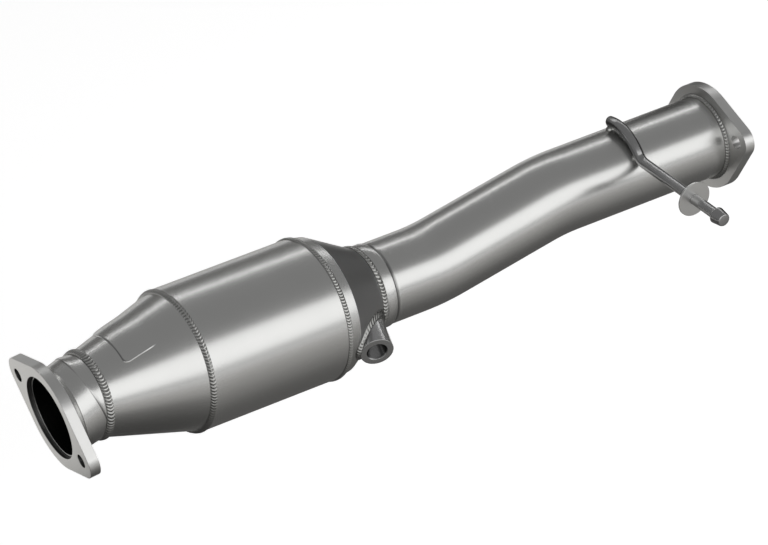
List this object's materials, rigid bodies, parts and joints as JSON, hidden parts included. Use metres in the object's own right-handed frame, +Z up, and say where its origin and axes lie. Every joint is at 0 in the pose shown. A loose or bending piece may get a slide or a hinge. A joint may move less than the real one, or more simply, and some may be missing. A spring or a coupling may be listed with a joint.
{
  "type": "exhaust downpipe",
  "caption": "Exhaust downpipe with bolted end flanges, an inlet cone, a round converter can, a sensor bung on the outlet cone, an offset tail pipe and a hanger rod.",
  "frame": {"origin": "centre of the inlet flange face, on the axis of its bolt circle", "axes": "+X along the can and the tail pipe, from inlet to outlet; +Z up, with the tail pipe end higher than the can; -Y the side of the sensor bung and the hanger arm"},
  "size_m": [0.7251, 0.2256, 0.1414],
  "materials": {
    "brushed_tube": "satin, brushed round the tube",
    "matte_cone": "satin",
    "flange_plate": "machined satin",
    "weld_bead": "rippled satin",
    "bung_steel": "turned",
    "rod_steel": "drawn satin",
    "washer_steel": "satin",
    "fibre_mat": "fibrous matte",
    "ceramic_brick": "dull ceramic",
    "seal_mesh": "knitted wire"
  },
  "bodies": {
    "root": {"inlet_flange": "flange_plate", "inlet_flange_weld": "weld_bead", "inlet_neck": "brushed_tube", "neck_weld": "weld_bead", "inlet_cone": "brushed_tube", "front_shell_weld": "weld_bead", "converter_shell": "brushed_tube", "front_mat_seal": "seal_mesh", "support_mat": "fibre_mat", "catalyst_brick": "ceramic_brick", "rear_mat_seal": "seal_mesh", "rear_shell_weld": "weld_bead", "outlet_cone": "matte_cone", "collar_weld": "weld_bead", "sensor_bung": "bung_steel", "bung_weld": "weld_bead", "tail_pipe": "brushed_tube", "outlet_flange_weld": "weld_bead", "outlet_flange": "flange_plate", "hanger_rod": "rod_steel", "hanger_washer": "washer_steel", "hanger_welds": "weld_bead"}
  },
  "joints": []
}
